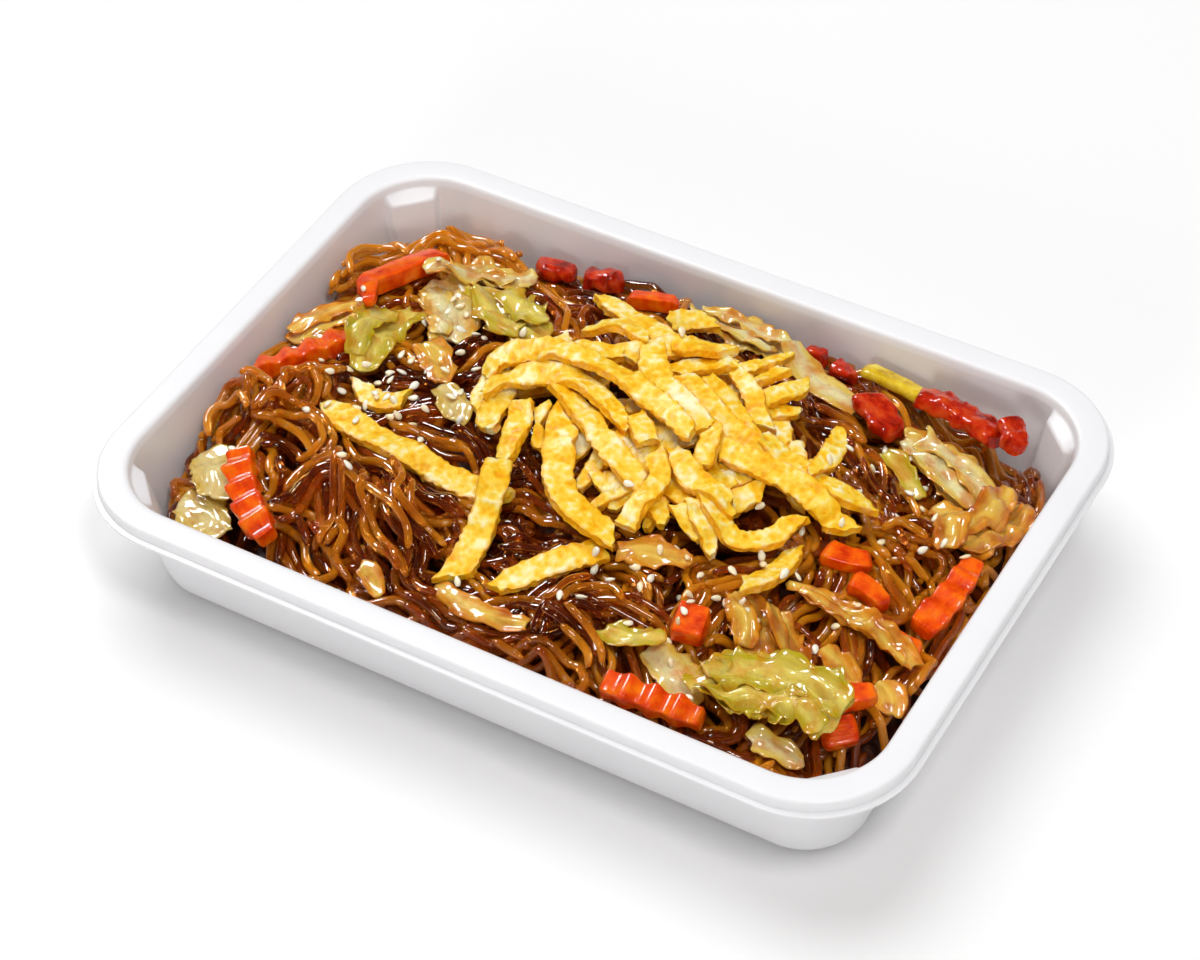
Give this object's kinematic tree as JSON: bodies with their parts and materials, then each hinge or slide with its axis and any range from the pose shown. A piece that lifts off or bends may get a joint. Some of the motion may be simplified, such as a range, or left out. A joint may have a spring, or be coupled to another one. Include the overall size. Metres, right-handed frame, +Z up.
{
  "type": "noodle takeaway box",
  "caption": "Rectangular takeaway tray with a rolled rim and corner lugs, heaped with noodles, cooked vegetables, sesame seeds and shredded omelette.",
  "frame": {"origin": "middle of the tray's base, on the surface that it stands on", "axes": "+X along the tray's long side, +Y along its short side, +Z up"},
  "size_m": [0.2328, 0.1642, 0.0542],
  "materials": {
    "tray_plastic": "white polypropylene, smooth with a soft shine",
    "noodle": "glassy brown starch noodle, wet and shiny, amber where thin",
    "egg": "fried omelette, soft yellow with fine pores and pale edges",
    "carrot": "cooked carrot, glazed",
    "red_pepper": "cooked red pepper, glazed",
    "yellow_pepper": "cooked yellow pepper, translucent",
    "pale_leaf": "cooked cabbage, translucent pale yellow",
    "green_leaf": "cooked cabbage, translucent green",
    "amber_leaf": "cabbage stained by the sauce, translucent amber",
    "onion": "cooked onion, translucent cream"
  },
  "bodies": {
    "root": {"tray": "tray_plastic", "carrot_crinkle_left": "carrot", "cabbage_amber_left": "amber_leaf", "carrot_stick_back": "carrot", "cabbage_green_left": "green_leaf", "carrot_chip": "carrot", "cabbage_white_left": "pale_leaf", "cabbage_green_back_left": "green_leaf", "cabbage_ruffle_left": "pale_leaf", "cabbage_small_left": "amber_leaf", "onion_corner_low": "onion", "onion_corner": "onion", "carrot_crinkle_corner": "carrot", "cabbage_front_bit": "amber_leaf", "pepper_back_left": "red_pepper", "pepper_back": "red_pepper", "carrot_behind": "carrot", "cabbage_back": "pale_leaf", "pepper_bit_back": "red_pepper", "pepper_bit_mid": "red_pepper", "cabbage_rib_back": "pale_leaf", "pepper_yellow": "yellow_pepper", "pepper_dark": "red_pepper", "pepper_long": "red_pepper", "pepper_bright": "red_pepper", "onion_right": "onion", "cabbage_right_fold": "pale_leaf", "cabbage_right_green": "green_leaf", "cabbage_right_ruffle": "amber_leaf", "cabbage_right_low": "amber_leaf", "carrot_low_right": "carrot", "carrot_slice_right": "carrot", "carrot_mid_right": "carrot", "carrot_mid_right_low": "carrot", "ribbon_amber_right": "amber_leaf", "cabbage_amber_right": "amber_leaf", "cabbage_amber_mid": "amber_leaf", "cabbage_amber_ruffle": "amber_leaf", "cabbage_pale_front": "pale_leaf", "cabbage_green_front": "green_leaf", "carrot_block": "carrot", "carrot_crinkle_front": "carrot", "cabbage_small_right": "amber_leaf", "carrot_round": "carrot", "carrot_wedge": "carrot", "cabbage_corner_under": "pale_leaf", "cabbage_corner_big": "green_leaf", "ribbon_amber_front": "amber_leaf", "cabbage_under_egg": "amber_leaf", "onion_by_egg": "onion", "egg_left_curl": "egg", "egg_left_long": "egg", "egg_left_cross": "egg", "egg_front": "egg", "egg_right_short": "egg", "egg_mound": "egg", "noodles": "noodle"}
  },
  "joints": []
}
